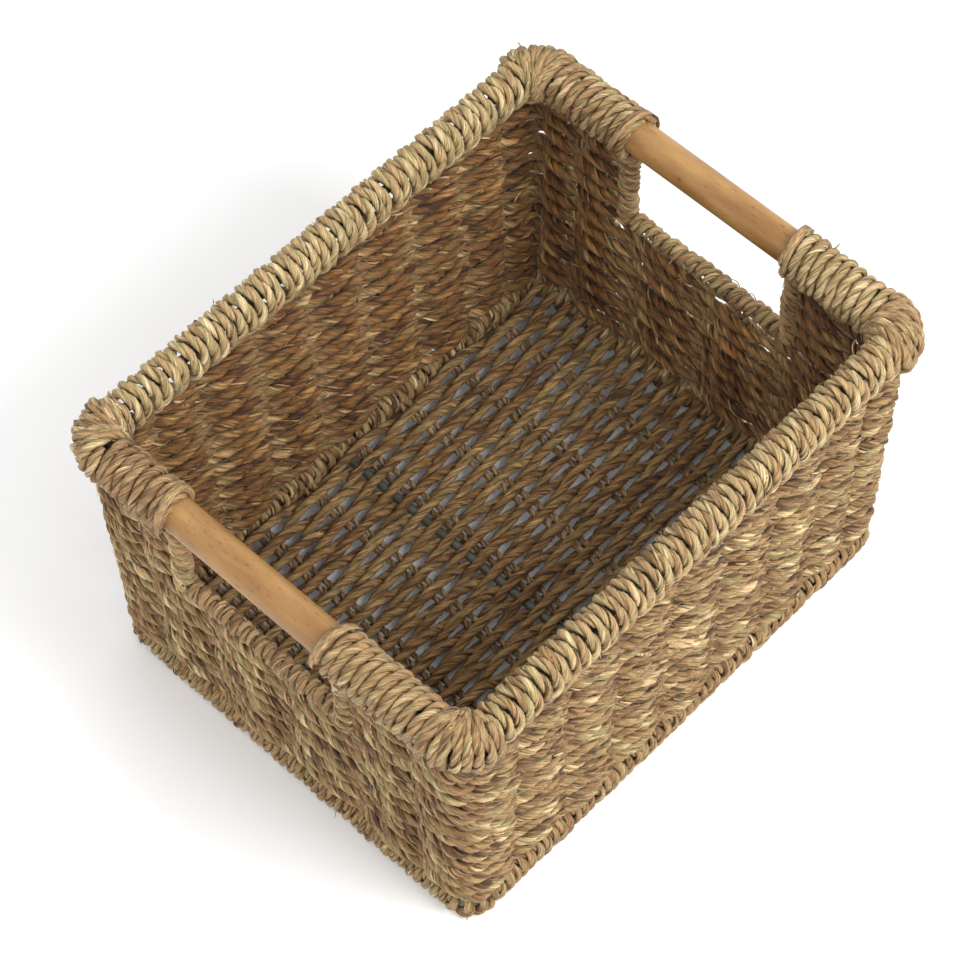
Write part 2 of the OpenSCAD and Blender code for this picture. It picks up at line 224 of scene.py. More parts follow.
    def finish(self, material, slotName, *nodes):
        mesh = bpy.data.meshes.new(self.name)
        points = np.concatenate(self.points) * mm
        points[:, 2] = np.maximum(points[:, 2], 0)       # what meets the ground is pressed flat on it
        corners = np.concatenate(self.corners).astype(np.int32)
        sizes = np.concatenate(self.sizes)
        mesh.vertices.add(len(points))
        mesh.vertices.foreach_set("co", points.astype(np.float32).ravel())
        mesh.loops.add(len(corners))
        mesh.loops.foreach_set("vertex_index", corners)
        mesh.polygons.add(len(sizes))
        mesh.polygons.foreach_set("loop_start", (np.cumsum(sizes) - sizes).astype(np.int32))
        mesh.update(calc_edges=True)
        layer = mesh.uv_layers.new(name="alongRope")
        layer.uv.foreach_set("vector", np.concatenate(self.maps).astype(np.float32).ravel())
        tone = mesh.color_attributes.new("tone", "FLOAT_COLOR", "POINT")
        tone.data.foreach_set("color", np.concatenate(self.tones).astype(np.float32).ravel())
        mesh.validate()
        mesh.polygons.foreach_set("use_smooth", np.ones(len(mesh.polygons), dtype=bool))
        mesh.materials.append(material)
        piece = bpy.data.objects.new(self.name, mesh)
        bpy.context.scene.collection.objects.link(piece)
        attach(piece, "root")
        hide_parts(*nodes)
        return piece


# Materials


def addNode(tree, kind, settings=None, links=None):
    # a node with its settings, and its inputs linked from other nodes' outputs
    made = tree.nodes.new(kind)
    for key, value in (settings or {}).items():
        if isinstance(key, str) and hasattr(made, key):
            setattr(made, key, value)
        else:
            made.inputs[key].default_value = value
    for key, (source, output) in (links or {}).items():
        tree.links.new(source.outputs[output], made.inputs[key])
    return made


def setRamp(ramp, stops):
    elements = ramp.color_ramp.elements
    while len(elements) < len(stops):
        elements.new(0.5)
    for element, (place, colour) in zip(elements, stops):
        element.position = place
        element.color = toLinear(colour) if isinstance(colour, str) else (colour, colour, colour, 1.0)


def twistedSeagrass(name, look):
    # dry seagrass, hand twisted: long waxy blades, each its own tan, straw or grey-green,
    # streaked along their length, with a soft sheen on the crowns, and painted shade on wall runs inside the
    # uprights
    material = bpy.data.materials.new(name)
    material.use_nodes = True
    tree = material.node_tree
    tree.nodes.clear()
    place = addNode(tree, "ShaderNodeUVMap", {"uv_map": "alongRope"})
    tone = addNode(tree, "ShaderNodeAttribute", {"attribute_name": "tone"})
    parts = addNode(tree, "ShaderNodeSeparateColor", None, {"Color": (tone, "Color")})
    # blades: one colour lasts about 25 mm along and 3 mm across
    bladeMap = addNode(tree, "ShaderNodeMapping", {"Scale": (0.4, 2.6, 1.0)}, {"Vector": (place, "UV")})
    blade = addNode(tree, "ShaderNodeTexNoise", {"Scale": 1.0, "Detail": 2.0, "Roughness": 0.6},
                    {"Vector": (bladeMap, "Vector")})
    shifted = addNode(tree, "ShaderNodeMath", {"operation": "MULTIPLY_ADD", 1: look["plyShift"]},
                      {0: (parts, "Red"), 2: (blade, "Fac")})
    placed = addNode(tree, "ShaderNodeMath", {"operation": "ADD", 1: -look["plyShift"] / 2},
                     {0: (shifted, "Value")})
    colour = addNode(tree, "ShaderNodeValToRGB", None, {"Fac": (placed, "Value")})
    setRamp(colour, look["blades"])
    # fibres: streaks 0.8 mm wide, as coarse as they need to be to show
    fibreMap = addNode(tree, "ShaderNodeMapping", {"Scale": (1.3, 13.0, 1.0), "Rotation": (0, 0, 0.05)},
                       {"Vector": (place, "UV")})
    fibre = addNode(tree, "ShaderNodeTexNoise", {"Scale": 1.0, "Detail": 3.0, "Roughness": 0.65},
                    {"Vector": (fibreMap, "Vector")})
    streak = addNode(tree, "ShaderNodeValToRGB", None, {"Fac": (fibre, "Fac")})
    setRamp(streak, [(0.30, look["streakDark"]), (0.52, 0.5), (0.72, look["streakPale"])])
    streaked = addNode(tree, "ShaderNodeMix",
                       {"data_type": "RGBA", "blend_type": "OVERLAY", 0: look["streaks"]},
                       {6: (colour, "Color"), 7: (streak, "Color")})
    # rust-brown flecks where a blade was bruised
    fleckMap = addNode(tree, "ShaderNodeMapping", {"Scale": (2.2, 5.0, 1.0), "Location": (31.0, 7.0, 0.0)},
                       {"Vector": (place, "UV")})
    fleck = addNode(tree, "ShaderNodeTexNoise", {"Scale": 1.0, "Detail": 1.0},
                    {"Vector": (fleckMap, "Vector")})
    fleckAmount = addNode(tree, "ShaderNodeMapRange",
                          {"From Min": 0.68, "From Max": 0.78, "To Max": look["flecks"]},
                          {"Value": (fleck, "Fac")})
    flecked = addNode(tree, "ShaderNodeMix", {"data_type": "RGBA", 7: toLinear(look["fleckColour"])},
                      {0: (fleckAmount, "Result"), 6: (streaked, 2)})
    # painted shade: runs that pass inside the uprights are multiplied darker and browner, mostly painted
    # shade, partly a browner rope
    innerShade = addNode(tree, "ShaderNodeMath", {"operation": "MULTIPLY", 1: look["innerShadeAmount"]},
                    {0: (parts, "Blue")})
    innerShaded = addNode(tree, "ShaderNodeMix",
                    {"data_type": "RGBA", "blend_type": "MULTIPLY", 7: toLinear(look["innerShadeTint"])},
                    {0: (innerShade, "Value"), 6: (flecked, 2)})
    rough = addNode(tree, "ShaderNodeMapRange", {"To Min": 0.48, "To Max": 0.78}, {"Value": (fibre, "Fac")})
    bump = addNode(tree, "ShaderNodeBump", {"Strength": 1.0, "Distance": 0.0007}, {"Height": (fibre, "Fac")})
    shader = addNode(tree, "ShaderNodeBsdfPrincipled",
                     {"IOR": 1.45, "Specular IOR Level": 0.4, "Sheen Weight": 0.08, "Sheen Roughness": 0.5},
                     {"Base Color": (innerShaded, 2), "Roughness": (rough, "Result"), "Normal": (bump, "Normal")})
    addNode(tree, "ShaderNodeOutputMaterial", None, {"Surface": (shader, "BSDF")})
    return material


wallLook = {
    "blades": [(0.28, "#533A22"), (0.40, "#8C6A42"), (0.51, "#AE8D60"), (0.60, "#908152"), (0.72, "#DDC191")],
    "plyShift": 0.30, "streakDark": 0.08, "streakPale": 0.86, "streaks": 0.95,
    # the inner tint and amount below are painted shade, multiplied over runs that pass inside the uprights
    "flecks": 0.5, "fleckColour": "#6E4526", "innerShadeAmount": 1.0, "innerShadeTint": "#C6A67E",
}
# floor rope: darker, browner blades, partly painted shade of the basket's inside, partly a browner rope
shadedFloorLook = dict(wallLook, blades=[(0.26, "#5C4127"), (0.40, "#876238"), (0.53, "#9F7A4A"), (0.62, "#857149"),
                                   (0.74, "#BC965F")])
cordLook = dict(wallLook, blades=[(0.26, "#5F4328"), (0.42, "#88683F"), (0.56, "#9C7B51"), (0.74, "#B4966A")])
rimLook = dict(wallLook, blades=[(0.24, "#75562F"), (0.38, "#A4845A"), (0.51, "#BD9E70"), (0.60, "#A1925F"),
                                 (0.72, "#DCC498")], flecks=0.7)
wrapLook = dict(rimLook, blades=[(0.24, "#6C4E2C"), (0.38, "#987750"), (0.51, "#AE8C61"), (0.60, "#948455"),
                                 (0.72, "#CDB285")])
footLook = dict(wallLook)
seagrassWall = twistedSeagrass("seagrassWallRope", wallLook)
seagrassFloor = twistedSeagrass("seagrassFloorRope", shadedFloorLook)
seagrassCord = twistedSeagrass("seagrassStakeCord", cordLook)
seagrassRim = twistedSeagrass("seagrassStrawRope", rimLook)
seagrassWrap = twistedSeagrass("seagrassWrapRope", wrapLook)
seagrassFoot = twistedSeagrass("seagrassFootRope", footLook)


def turnedDowel(name, look):
    # a stock hardwood dowel, sanded and lacquered: honey tan, fine straight grain, satin
    material = bpy.data.materials.new(name)
    material.use_nodes = True
    tree = material.node_tree
    tree.nodes.clear()
    place = addNode(tree, "ShaderNodeTexCoord")
    cloudMap = addNode(tree, "ShaderNodeMapping", {"Scale": (60, 14, 60)}, {"Vector": (place, "Object")})
    cloud = addNode(tree, "ShaderNodeTexNoise", {"Scale": 1.0, "Detail": 3.0},
                    {"Vector": (cloudMap, "Vector")})
    base = addNode(tree, "ShaderNodeValToRGB", None, {"Fac": (cloud, "Fac")})
    setRamp(base, look["wood"])
    # grain lines about 0.6 mm apart, drawn out along the dowel
    grainMap = addNode(tree, "ShaderNodeMapping", {"Scale": (1500, 45, 1500)}, {"Vector": (place, "Object")})
    grain = addNode(tree, "ShaderNodeTexNoise", {"Scale": 1.0, "Detail": 2.0},
                    {"Vector": (grainMap, "Vector")})
    grainTone = addNode(tree, "ShaderNodeValToRGB", None, {"Fac": (grain, "Fac")})
    setRamp(grainTone, [(0.35, 0.42), (0.65, 0.56)])
    grained = addNode(tree, "ShaderNodeMix", {"data_type": "RGBA", "blend_type": "OVERLAY", 0: 0.35},
                      {6: (base, "Color"), 7: (grainTone, "Color")})
    # short dark pores, 2 mm long
    poreMap = addNode(tree, "ShaderNodeMapping", {"Scale": (620, 160, 620)}, {"Vector": (place, "Object")})
    pore = addNode(tree, "ShaderNodeTexNoise", {"Scale": 1.0, "Detail": 1.0},
                   {"Vector": (poreMap, "Vector")})
    poreAmount = addNode(tree, "ShaderNodeMapRange", {"From Min": 0.64, "From Max": 0.76, "To Max": 0.6},
                         {"Value": (pore, "Fac")})
    pored = addNode(tree, "ShaderNodeMix", {"data_type": "RGBA", 7: toLinear(look["pore"])},
                    {0: (poreAmount, "Result"), 6: (grained, 2)})
    rough = addNode(tree, "ShaderNodeMapRange", {"To Min": 0.36, "To Max": 0.50}, {"Value": (cloud, "Fac")})
    bump = addNode(tree, "ShaderNodeBump", {"Strength": 0.25, "Distance": 0.0002}, {"Height": (grain, "Fac")})
    shader = addNode(tree, "ShaderNodeBsdfPrincipled",
                     {"IOR": 1.5, "Coat Weight": 0.15, "Coat Roughness": 0.35},
                     {"Base Color": (pored, 2), "Roughness": (rough, "Result"), "Normal": (bump, "Normal")})
    addNode(tree, "ShaderNodeOutputMaterial", None, {"Surface": (shader, "BSDF")})
    return material


def coatedSteel(name, look):
    # drawn steel rod under a thin grey-green coat: semi-gloss, faintly mottled, scuffed in places
    material = bpy.data.materials.new(name)
    material.use_nodes = True
    tree = material.node_tree
    tree.nodes.clear()
    place = addNode(tree, "ShaderNodeTexCoord")
    mottle = addNode(tree, "ShaderNodeTexNoise", {"Scale": 160.0, "Detail": 4.0},
                     {"Vector": (place, "Object")})
    base = addNode(tree, "ShaderNodeValToRGB", None, {"Fac": (mottle, "Fac")})
    setRamp(base, look["coat"])
    scuff = addNode(tree, "ShaderNodeTexNoise", {"Scale": 420.0, "Detail": 2.0},
                    {"Vector": (place, "Object")})
    scuffAmount = addNode(tree, "ShaderNodeMapRange", {"From Min": 0.62, "From Max": 0.72, "To Max": 0.6},
                          {"Value": (scuff, "Fac")})
    scuffed = addNode(tree, "ShaderNodeMix", {"data_type": "RGBA", 7: toLinear(look["scuff"])},
                      {0: (scuffAmount, "Result"), 6: (base, "Color")})
    rough = addNode(tree, "ShaderNodeMapRange", {"To Min": 0.35, "To Max": 0.6}, {"Value": (mottle, "Fac")})
    bump = addNode(tree, "ShaderNodeBump", {"Strength": 0.2, "Distance": 0.0002}, {"Height": (mottle, "Fac")})
    shader = addNode(tree, "ShaderNodeBsdfPrincipled", {"Metallic": 0.25},
                     {"Base Color": (scuffed, 2), "Roughness": (rough, "Result"), "Normal": (bump, "Normal")})
    addNode(tree, "ShaderNodeOutputMaterial", None, {"Surface": (shader, "BSDF")})
    return material


def dress(material, *nodes):
    # the CAD node keeps its mesh and takes this finish
    for name in nodes:
        node = frame["nodes"][name]
        if not node.material_slots:
            node.data.materials.append(material)
        for held in node.material_slots:
            held.material = material


dowelWood = turnedDowel("lacqueredDowel", {
    "wood": [(0.34, "#875D2C"), (0.50, "#9B7340"), (0.66, "#AE854F")], "pore": "#5A3718"})
frameSteel = coatedSteel("coatedSteelRod", {
    "coat": [(0.35, "#4A4B40"), (0.65, "#625F50")], "scuff": "#85826F"})
dress(dowelWood, "grip_left", "grip_right")
dress(frameSteel, "rim_rod_front", "rim_rod_back", "foot_ring", "floor_brace", "corner_posts",
      "gap_frame_left", "gap_frame_right")
print("materials made")

# Walls

wallRope = {"step": 2.3, "lay": 28.0, "sides": 7, "plyOut": 1.75, "plyDeep": 2.1, "plyWide": 2.95,
            "uneven": 0.12, "lump": 0.15, "facet": 0.12, "cornerBulge": 3.2,
            "swing": 4.3, "swingSpread": 0.12, "flat": 2.0,      # in and out of the uprights
            "wobble": 0.85, "wobbleOver": 26, "fineWobble": 0.5, "fineWobbleOver": 11,
            "sway": 0.4, "swayOver": 17, "joinEase": 30, "loopStep": 1.5, "cornerSteps": 20,
            "gapClear": 1, "gapEase": 9,
            "strays": 22, "loose": 90, "halfStrays": 11, "halfLoose": 40, "strayLift": 2.6}


def wallAt(z):
    # half the length and the width of the wall's middle at a height
    b = basket
    low = (b["rimZ"] - z) / (b["rimZ"] - b["ringZ"])
    return b["halfX"] - (b["halfX"] - b["footX"]) * low, b["halfY"] - (b["halfY"] - b["footY"]) * low


def wallLoop(wallX, wallY):
    # once round the middle of the wall: points, outward directions and distance along
    arcX, arcY = basket["arcX"], basket["arcY"]
    corners = [(arcX, -arcY, -90), (arcX, arcY, 0), (-arcX, arcY, 90), (-arcX, -arcY, 180)]
    points, outs = [], []
    straights = [((-arcX, -wallY), (arcX, -wallY), (0, -1)), ((wallX, -arcY), (wallX, arcY), (1, 0)),
                 ((arcX, wallY), (-arcX, wallY), (0, 1)), ((-wallX, arcY), (-wallX, -arcY), (-1, 0))]
    for (begin, end, out), (cx, cy, first) in zip(straights, corners):
        steps = int(math.dist(begin, end) / wallRope["loopStep"])
        for i in range(steps):
            f = i / steps
            points.append([begin[0] + (end[0] - begin[0]) * f, begin[1] + (end[1] - begin[1]) * f, 0])
            outs.append([out[0], out[1], 0])
        for i in range(wallRope["cornerSteps"]):
            a = math.radians(first + 90 * i / wallRope["cornerSteps"])
            points.append([cx + (wallX - arcX) * math.cos(a), cy + (wallY - arcY) * math.sin(a), 0])
            outs.append([math.cos(a), math.sin(a), 0])
    points, outs = np.array(points), np.array(outs, dtype=float)
    gaps = np.linalg.norm(np.roll(points, -1, axis=0) - points, axis=1)
    along = np.concatenate([[0], np.cumsum(gaps)[:-1]])
    return points, outs, along, gaps.sum()


def stationsAt(points, along, wallX, wallY):
    # distance along the loop of each upright that a course passes, corner posts included
    b = basket
    longX = [-b["postX"]] + b["stakeX"] + [b["postX"]]
    spots = [(x, -wallY) for x in longX] + [(wallX, y) for y in b["stakeY"]]
    spots += [(x, wallY) for x in reversed(longX)] + [(-wallX, y) for y in reversed(b["stakeY"])]
    return np.array([along[np.argmin(((points[:, :2] - spot) ** 2).sum(1))] for spot in spots])


def coursePath(k, rng):
    # the middle line of a course, in and out of the uprights
    b, w = basket, wallRope
    pitch = (b["wallTop"] - b["wallBottom"]) / b["courses"]
    z = b["wallBottom"] + (k + 0.5) * pitch
    wallX, wallY = wallAt(z)
    points, outs, along, total = wallLoop(wallX, wallY)
    stations = stationsAt(points, along, wallX, wallY)
    signs = np.array([1 if (n + k) % 2 == 0 else -1 for n in range(len(stations))])
    reach = signs * w["swing"] * (1 + w["swingSpread"] * rng.uniform(-1, 1, len(stations)))
    where = np.concatenate([[stations[-1] - total], stations, [stations[0] + total]])
    value = np.concatenate([[reach[-1]], reach, [reach[0]]])
    i = np.searchsorted(where, along, side="right") - 1
    span = where[i + 1] - where[i]
    t = np.clip((along - where[i] - w["flat"]) / (span - 2 * w["flat"]), 0, 1)
    swing = value[i] + (value[i + 1] - value[i]) * (1 - np.cos(math.pi * t)) / 2
    ease = np.clip(np.minimum(along, total - along) / w["joinEase"], 0, 1)
    wobble = drift(rng, along, w["wobbleOver"]) + w["fineWobble"] * drift(rng, along, w["fineWobbleOver"])
    bulge = w["cornerBulge"] * 2 * np.abs(outs[:, 0] * outs[:, 1])
    sway = w["sway"] * drift(rng, along, w["swayOver"])
    path = points + outs * (swing + bulge + sway * ease)[:, None]
    path[:, 2] = z + w["wobble"] * wobble * ease
    return path, outs, swing / w["swing"]


def makeCourse(k, piece, part=None):
    # a course all the way round, or its front or back part above the hand gaps
    path, outs, swing = coursePath(k, piece.rng)
    tint = piece.rng.uniform()
    # how far each run lies inside the uprights, which sets its painted shade
    inwardShade = np.clip(0.5 - 0.5 * swing, 0, 1)
    if part is None:
        path, outs, inwardShade = (np.concatenate([a, a[:1]]) for a in (path, outs, inwardShade))
        return piece.addRope(path, outs, wallRope, closed=True, tint=tint, inwardShade=inwardShade)
    # a part starts and stops inside the gap's side wraps
    shift = np.where(path[:, 0] > 0, basket["gapShift"][1], basket["gapShift"][-1])
    keep = part * (path[:, 1] - shift) > basket["gapPostY"] + wallRope["gapClear"]
    first = np.flatnonzero(keep & ~np.roll(keep, 1))[0]
    order = (np.arange(len(path)) + first) % len(path)
    order = order[keep[order]]
    path, outs, inwardShade = path[order], outs[order], inwardShade[order]
    # ends drawn in to the middle of the side wraps
    number = np.arange(len(path))
    ends = np.clip(np.minimum(number, number[::-1]) / wallRope["gapEase"], 0, 1)
    sideX = wallAt(path[:, 2].mean())[0]
    onSide = np.abs(path[:, 1]) < basket["arcY"]
    target = np.where(path[:, 0] > 0, sideX, -sideX)
    path[:, 0] = np.where(onSide, target + (path[:, 0] - target) * ends, path[:, 0])
    return piece.addRope(path, outs, wallRope, tint=tint, inwardShade=inwardShade)


strayBlade = {"clearBefore": 4, "clearAfter": 8, "long": (4, 11), "leastLift": 0.4, "root": 2.9, "high": 1.5,
              "rise": 3, "points": 7, "wide": (0.5, 1.3), "thick": 0.3}
looseBlade = {"clearAfter": 10, "spans": (4, 9), "round": 1.1, "proud": (-0.25, 0.3), "wide": (1.1, 2.6),
              "thick": 0.5}


def addStrays(piece, laid, count, mostLift):
    # broken blades that lift out of the rope
    centre, tangent, normal = laid
    rng, k = piece.rng, strayBlade
    for i in rng.integers(k["clearBefore"], len(centre) - k["clearAfter"], count):
        way = rng.choice([-1, 1])
        length = rng.uniform(*k["long"])
        lift = rng.uniform(k["leastLift"], mostLift)
        root = normal[i] * k["root"] * rng.choice([1, 1, -1])      # two in three on the outside
        start = centre[i] + root + up * rng.uniform(-k["high"], k["high"])
        t = np.linspace(0, 1, k["points"])[:, None]
        outDir = unit(start - centre[i])
        path = start + tangent[i] * way * length * t + outDir * lift * t ** 2
        path = path + up * rng.uniform(-k["rise"], k["rise"]) * t ** 2
        outs = np.tile(outDir, (k["points"], 1))
        piece.addBlade(path, outs, rng.uniform(*k["wide"]), k["thick"], rng.uniform())


def addLoose(piece, laid, kind, count, wide=looseBlade["wide"]):
    # loose flat blades that lie along the twist, hugging the rope
    centre, tangent, normal = laid
    rng, k = piece.rng, looseBlade
    side = np.cross(tangent, normal)
    for i in rng.integers(0, len(centre) - k["clearAfter"], count):
        span = rng.integers(*k["spans"])
        at = np.arange(i, i + span + 1)
        turn = rng.choice([0, 0, math.pi]) + rng.uniform(-k["round"], k["round"])
        turn = (turn + 2 * math.pi * (at - i - span / 2) * kind["step"] / kind["lay"])[:, None]
        away = np.cos(turn) * normal[at] + np.sin(turn) * side[at]
        reach = kind["plyOut"] + kind["plyDeep"] + rng.uniform(*k["proud"])
        piece.addBlade(centre[at] + away * reach, away, rng.uniform(*wide), k["thick"], rng.uniform())


seed = 11
for k in range(0, basket["courses"], 2):
    seed += 1
    if k < basket["lowCourses"]:
        name = f"course_{k + 1}_{k + 2}"
        piece = RopeMesh(name + "_rope", seed)
        for row in (k, k + 1):
            laid = makeCourse(row, piece)
            addStrays(piece, laid, wallRope["strays"], wallRope["strayLift"])
            addLoose(piece, laid, wallRope, wallRope["loose"])
        piece.finish(seagrassWall, "wall_rope", name)
    else:
        for side, part in (("front", -1), ("back", 1)):
            name = f"{side}_course_{k + 1}_{k + 2}"
            piece = RopeMesh(name + "_rope", seed + 40 * (part + 2))
            for row in (k, k + 1):
                laid = makeCourse(row, piece, part)
                addStrays(piece, laid, wallRope["halfStrays"], wallRope["strayLift"])
                addLoose(piece, laid, wallRope, wallRope["halfLoose"])
            piece.finish(seagrassWall, "wall_rope", name)
print("wall courses woven")

stakeCord = {"step": 1.9, "lay": 15.0, "sides": 6, "plyOut": 1.1, "plyDeep": 1.2, "plyWide": 1.75,
             "uneven": 0.08, "lump": 0.10, "facet": 0.05,
             "below": 2, "over": 6, "overGap": 4, "points": 60, "bend": 0.35, "bendOver": 14}


def makeStakes(name, spots, seed):
    # each stake is a pair of cords from the foot ring up to its top
    k = stakeCord
    piece = RopeMesh(name + "_rope", seed)
    for x, y, alongX, top in spots:
        for side in (-1, 1):
            z = np.linspace(basket["ringZ"] - k["below"], top, k["points"])
            wallX, wallY = wallAt(z)
            bend = k["bend"] * drift(piece.rng, z, k["bendOver"])
            offset = side * basket["cordGap"] / 2
            if alongX:
                path = np.stack([x + offset + bend, np.sign(y) * wallY, z], 1)
                out = np.tile([0.0, np.sign(y), 0.0], (k["points"], 1))
            else:
                path = np.stack([np.sign(x) * wallX, y + offset + bend, z], 1)
                out = np.tile([np.sign(x), 0.0, 0.0], (k["points"], 1))
            piece.addRope(path, out, stakeCord, tint=piece.rng.uniform())
    piece.finish(seagrassCord, "stake_cord", name)


top = basket["wallTop"] + stakeCord["over"]
gapTop = basket["lowTop"] + stakeCord["overGap"]
makeStakes("stake_cords_front", [(x, -1, True, top) for x in basket["stakeX"]], 201)
makeStakes("stake_cords_back", [(x, 1, True, top) for x in basket["stakeX"]], 202)
for name, sx, seed in (("stake_cords_left", -1, 203), ("stake_cords_right", 1, 204)):
    makeStakes(name, [(sx, y, False, gapTop if abs(y - basket["gapShift"][sx]) < basket["gapPostY"] else top)
                      for y in basket["stakeY"]], seed)
print("stake cords made")

# Floor

floorRope = {"step": 2.3, "lay": 28.0, "sides": 7, "plyOut": 1.5, "plyDeep": 1.7, "plyWide": 2.45,
             "uneven": 0.07, "lump": 0.09, "facet": 0.06, "ropes": 42,
             "swing": 5.4, "swingSpread": 0.1, "flat": 3, "endIn": 3, "climb": 8.6, "dive": -5.5,
             "sway": 0.5, "swayOver": 24, "fineSway": 0.25, "fineSwayOver": 9, "points": 260,
             "strays": 3, "strayLift": 2.2, "loose": 14}


def floorPath(j, rng):
    # the middle line of a floor rope, over and under the pairs of floor cords
    b, k = basket, floorRope
    y = (j - (k["ropes"] - 1) / 2) * b["floorPitch"]
    stations = [-b["footX"] + k["endIn"]] + b["stakeX"] + [b["footX"] - k["endIn"]]
    signs = [1 if (i + j) % 2 == 0 else -1 for i in range(-1, len(b["stakeX"]) + 1)]
    heights = [s * k["swing"] * (1 + k["swingSpread"] * rng.uniform(-1, 1)) for s in signs]
    for end in (0, -1):       # the ends climb over the foot ring or dive under it
        heights[end] = k["climb"] if signs[end] > 0 else k["dive"]
    x = np.linspace(stations[0], stations[-1], k["points"])
    i = np.clip(np.searchsorted(stations, x, side="right") - 1, 0, len(stations) - 2)
    at, to = np.array(stations)[i], np.array(stations)[i + 1]
    low, high = np.array(heights)[i], np.array(heights)[i + 1]
    t = np.clip((x - at - k["flat"]) / (to - at - 2 * k["flat"]), 0, 1)
    z = b["ringZ"] + low + (high - low) * (1 - np.cos(math.pi * t)) / 2
    sway = k["sway"] * drift(rng, x, k["swayOver"]) + k["fineSway"] * drift(rng, x, k["fineSwayOver"])
    return np.stack([x, y + sway, z], 1), np.tile(up, (k["points"], 1))


for name, first, last, seed in (("floor_ropes_front", 0, 13, 301), ("floor_ropes_middle", 14, 28, 302),
                                ("floor_ropes_back", 29, 41, 303)):
    piece = RopeMesh(name + "_rope", seed)
    for j in range(first, last + 1):
        path, out = floorPath(j, piece.rng)
        laid = piece.addRope(path, out, floorRope, tint=piece.rng.uniform())
        addStrays(piece, laid, floorRope["strays"], floorRope["strayLift"])
        addLoose(piece, laid, floorRope, floorRope["loose"])
    piece.finish(seagrassFloor, "floor_rope", name)

floorCord = {"endIn": 4, "points": 90, "bend": 0.35, "bendOver": 16}
piece = RopeMesh("floor_cords_rope", 304)
for x in basket["stakeX"]:
    for side in (-1, 1):
        reachY = basket["footY"] - floorCord["endIn"]
        y = np.linspace(-reachY, reachY, floorCord["points"])
        bent = floorCord["bend"] * drift(piece.rng, y, floorCord["bendOver"])
        path = np.stack([x + side * basket["cordGap"] / 2 + bent, y, np.full(len(y), basket["ringZ"])], 1)
        piece.addRope(path, np.tile(up, (len(y), 1)), stakeCord, tint=piece.rng.uniform())
piece.finish(seagrassCord, "stake_cord", "floor_cords")
print("floor woven")

# Wraps: one rope wound round and round an oval bar

wrapRope = {"step": 2.2, "lay": 27.0, "sides": 7, "plyOut": 1.6, "plyDeep": 1.85, "plyWide": 2.4,
            "uneven": 0.11, "lump": 0.14, "facet": 0.10,
            "spots": 40,                                 # points in one turn round the bar
            "pinchAt": (315, 225), "pinchWide": 34,      # in degrees round the bar
            "alongDrift": 0.9, "alongOver": 2.5, "deepDrift": 0.3, "deepOver": 2.0, "pressed": 0.96,
            "strayEvery": 130, "strayLift": 1.8, "looseEvery": 11, "looseWide": (1.2, 2.8)}


def coil(axis, outs, ups, wrap, rng):
    # the path of a rope wound round an axis: outs and ups are the section's two directions
    k = wrapRope
    along = np.concatenate([[0], np.cumsum(np.linalg.norm(np.diff(axis, axis=0), axis=1))])
    turns = along[-1] / wrap["pitch"]
    count = int(turns * k["spots"])
    angle = np.linspace(0, 2 * math.pi * turns, count)
    number = np.floor(angle / (2 * math.pi))
    here = np.linspace(0, along[-1], count)
    if "pairPinch" in wrap:      # turns drawn together in pairs under the bar
        low = sum(np.exp(-((np.degrees(angle) % 360 - at) / k["pinchWide"]) ** 2) for at in k["pinchAt"])
        here = here + wrap["pairPinch"] * low * np.where(number % 2 == 0, 1, -1)
    here = np.clip(here + wrap.get("slant", 0) * np.cos(angle), 0, along[-1])
    here = np.clip(here + k["alongDrift"] * drift(rng, angle, k["alongOver"]), 0, along[-1])
    take = lambda a: np.stack([np.interp(here, along, a[:, i]) for i in range(3)], 1)
    middle, out, high = take(axis), unit(take(outs)), unit(take(ups))
    deep = k["plyOut"] + k["plyDeep"]
    wander = k["deepDrift"] * drift(rng, angle, k["deepOver"])
    a = (wrap["halfWide"] - deep + wander) * np.cos(angle)
    b = (wrap["halfHigh"] - deep + wander) * np.sin(angle)
    path = middle + out * a[:, None] + high * b[:, None]
    if "floorZ" in wrap:
        path[:, 2] = np.maximum(path[:, 2], wrap["floorZ"] + deep * k["pressed"])
    acrossWide, acrossHigh = np.cos(angle) / wrap["halfWide"], np.sin(angle) / wrap["halfHigh"]
    return path, unit(out * acrossWide[:, None] + high * acrossHigh[:, None])


def straight(begin, end, out, upward, count):
    f = np.linspace(0, 1, count)[:, None]
    axis = np.array(begin) * (1 - f) + np.array(end) * f
    return axis, np.tile(np.array(out, float), (count, 1)), np.tile(np.array(upward, float), (count, 1))


def bend(cx, cy, radius, first, z, count=40):
    a = np.radians(first + np.linspace(0, 90, count))
    out = np.stack([np.cos(a), np.sin(a), 0 * a], 1)
    return np.array([cx, cy, z]) + out * radius, out, np.tile(up, (count, 1))


def join(*runs):
    return tuple(np.concatenate([r[i] for r in runs]) for i in range(3))


lastTurn = {"begin": -25, "sweep": 215, "points": 24, "slant": 9, "proud": 0.5, "wide": 6.5, "thick": 0.8,
            "tint": 0.2}


def endBlade(piece, x, y, outX, outY, halfWide, halfHigh):
    # the wrap's last turn against the grip, a broad flat blade laid over on the slant
    k = lastTurn
    turn = np.radians(k["begin"] + k["sweep"] * np.linspace(0, 1, k["points"]))
    facing = unit(np.stack([outX * np.cos(turn) / halfWide, 0 * turn, np.sin(turn) / halfHigh], 1))
    path = np.stack([x + outX * halfWide * np.cos(turn), y + outY * np.linspace(0, k["slant"], k["points"]),
                     basket["wrapZ"] + halfHigh * np.sin(turn)], 1)
    piece.addBlade(path + k["proud"] * facing, facing, k["wide"], k["thick"], k["tint"])


